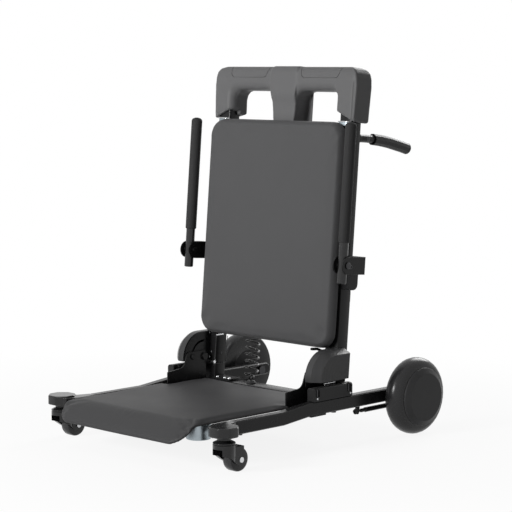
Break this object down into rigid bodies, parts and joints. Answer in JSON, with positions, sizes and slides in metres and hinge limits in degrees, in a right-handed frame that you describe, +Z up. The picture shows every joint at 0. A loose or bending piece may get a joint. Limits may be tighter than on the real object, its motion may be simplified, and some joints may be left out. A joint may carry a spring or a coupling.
{
  "type": "transfer chair",
  "caption": "Floor-level transfer chair with a folding seat plate, padded back with hand-hole crown, swing-up arm bars, lifting columns and a wheeled low base.",
  "frame": {"origin": "on the floor, at the middle of the chair's width and length", "axes": "+Z up, the chair faces -Y, +X is the right of a viewer in front of it"},
  "size_m": [0.7126, 0.855, 0.9487],
  "materials": {
    "frame_black": "semi-gloss black powder coat on steel",
    "gloss_black": "gloss black paint on steel tube",
    "moulded_black": "fine-grained charcoal plastic",
    "soft_grip": "matt black foam or soft rubber grip",
    "tyre_black": "smooth solid black tyre",
    "upholstery": "matt charcoal coated fabric, wipe-clean",
    "bright_steel": "bright zinc-plated steel",
    "zinc": "pale grey-blue satin metal",
    "cord_black": "black polyurethane cord sheath"
  },
  "bodies": {
    "base": {"side_rail_right": "frame_black", "side_rail_left": "frame_black", "cross_beam": "frame_black", "rail_block_right": "moulded_black", "rail_block_left": "moulded_black", "caster_socket_right": "frame_black", "caster_socket_left": "frame_black", "rear_axle_right": "bright_steel", "rear_axle_left": "bright_steel", "rear_strut_right": "frame_black", "rear_strut_left": "frame_black", "lift_mast_right": "frame_black", "lift_mast_left": "frame_black", "cord_fitting": "moulded_black"},
    "caster_right": {"caster_fork_right": "frame_black", "caster_bolt_right": "bright_steel"},
    "caster_left": {"caster_fork_left": "frame_black", "caster_bolt_left": "bright_steel"},
    "caster_roller_right": {"caster_wheel_right": "tyre_black"},
    "caster_roller_left": {"caster_wheel_left": "tyre_black"},
    "rear_wheel_right": {"rear_tyre_right": "tyre_black", "rear_hub_right": "moulded_black"},
    "rear_wheel_left": {"rear_tyre_left": "tyre_black", "rear_hub_left": "moulded_black"},
    "carriage": {"upright_right": "frame_black", "upright_left": "frame_black", "lift_yoke": "frame_black", "lower_bar": "frame_black", "back_board": "moulded_black", "back_pad": "upholstery", "crown": "moulded_black", "crown_grip_right": "soft_grip", "crown_grip_left": "soft_grip", "push_handle_right": "frame_black", "push_handle_left": "frame_black", "push_grip_right": "soft_grip", "push_grip_left": "soft_grip", "arm_bracket_right": "frame_black", "arm_bracket_left": "frame_black", "arm_bolt_right": "bright_steel", "arm_bolt_left": "bright_steel", "hinge_plate_right": "frame_black", "hinge_plate_left": "frame_black", "hinge_cover_right": "moulded_black", "hinge_cover_left": "moulded_black", "seat_pivot_bolt_right": "frame_black", "seat_pivot_bolt_left": "frame_black", "power_box": "moulded_black", "curly_cord": "cord_black"},
    "lever": {"release_lever": "frame_black"},
    "seat": {"seat_pad": "upholstery", "seat_pan": "frame_black", "seat_wing_right": "frame_black", "seat_wing_left": "frame_black", "seat_foot_right": "zinc", "seat_foot_left": "zinc"},
    "arm_right": {"arm_tube_right": "gloss_black", "arm_grip_right": "soft_grip"},
    "arm_left": {"arm_tube_left": "gloss_black", "arm_grip_left": "soft_grip"}
  },
  "joints": [
    {"name": "lift", "type": "slide", "parent": "base", "child": "carriage", "axis": [0, 0.0837, 0.9965], "range_m": [0, 0.4], "deforming": ["curly_cord"]},
    {"name": "seat_fold", "type": "hinge", "parent": "carriage", "child": "seat", "pos_m": [0, 0.0805, 0.1715], "axis": [-1, 0, 0], "range_deg": [0, 88]},
    {"name": "release_lever_swing", "type": "hinge", "parent": "carriage", "child": "lever", "pos_m": [0.207, 0.10051, 0.22535], "axis": [1, 0, 0], "range_deg": [0, 15], "stiffness_Nm_per_rad": 1, "springref_deg": -8.59},
    {"name": "arm_right_swing", "type": "hinge", "parent": "carriage", "child": "arm_right", "pos_m": [0.2784, 0.08729, 0.45627], "axis": [1, 0, 0], "range_deg": [0, 90]},
    {"name": "arm_left_swing", "type": "hinge", "parent": "carriage", "child": "arm_left", "pos_m": [-0.2784, 0.08729, 0.45627], "axis": [1, 0, 0], "range_deg": [0, 90]},
    {"name": "caster_right_swivel", "type": "hinge", "parent": "base", "child": "caster_right", "pos_m": [0.298, -0.3475, 0.071], "axis": [0, 0, 1], "continuous": true},
    {"name": "caster_left_swivel", "type": "hinge", "parent": "base", "child": "caster_left", "pos_m": [-0.298, -0.3475, 0.071], "axis": [0, 0, 1], "continuous": true},
    {"name": "caster_right_roll", "type": "hinge", "parent": "caster_right", "child": "caster_roller_right", "pos_m": [0.298, -0.3105, 0.0295], "axis": [1, 0, 0], "continuous": true},
    {"name": "caster_left_roll", "type": "hinge", "parent": "caster_left", "child": "caster_roller_left", "pos_m": [-0.298, -0.3105, 0.0295], "axis": [1, 0, 0], "continuous": true},
    {"name": "rear_right_roll", "type": "hinge", "parent": "base", "child": "rear_wheel_right", "pos_m": [0.316, 0.3275, 0.1], "axis": [1, 0, 0], "continuous": true},
    {"name": "rear_left_roll", "type": "hinge", "parent": "base", "child": "rear_wheel_left", "pos_m": [-0.316, 0.3275, 0.1], "axis": [1, 0, 0], "continuous": true}
  ]
}
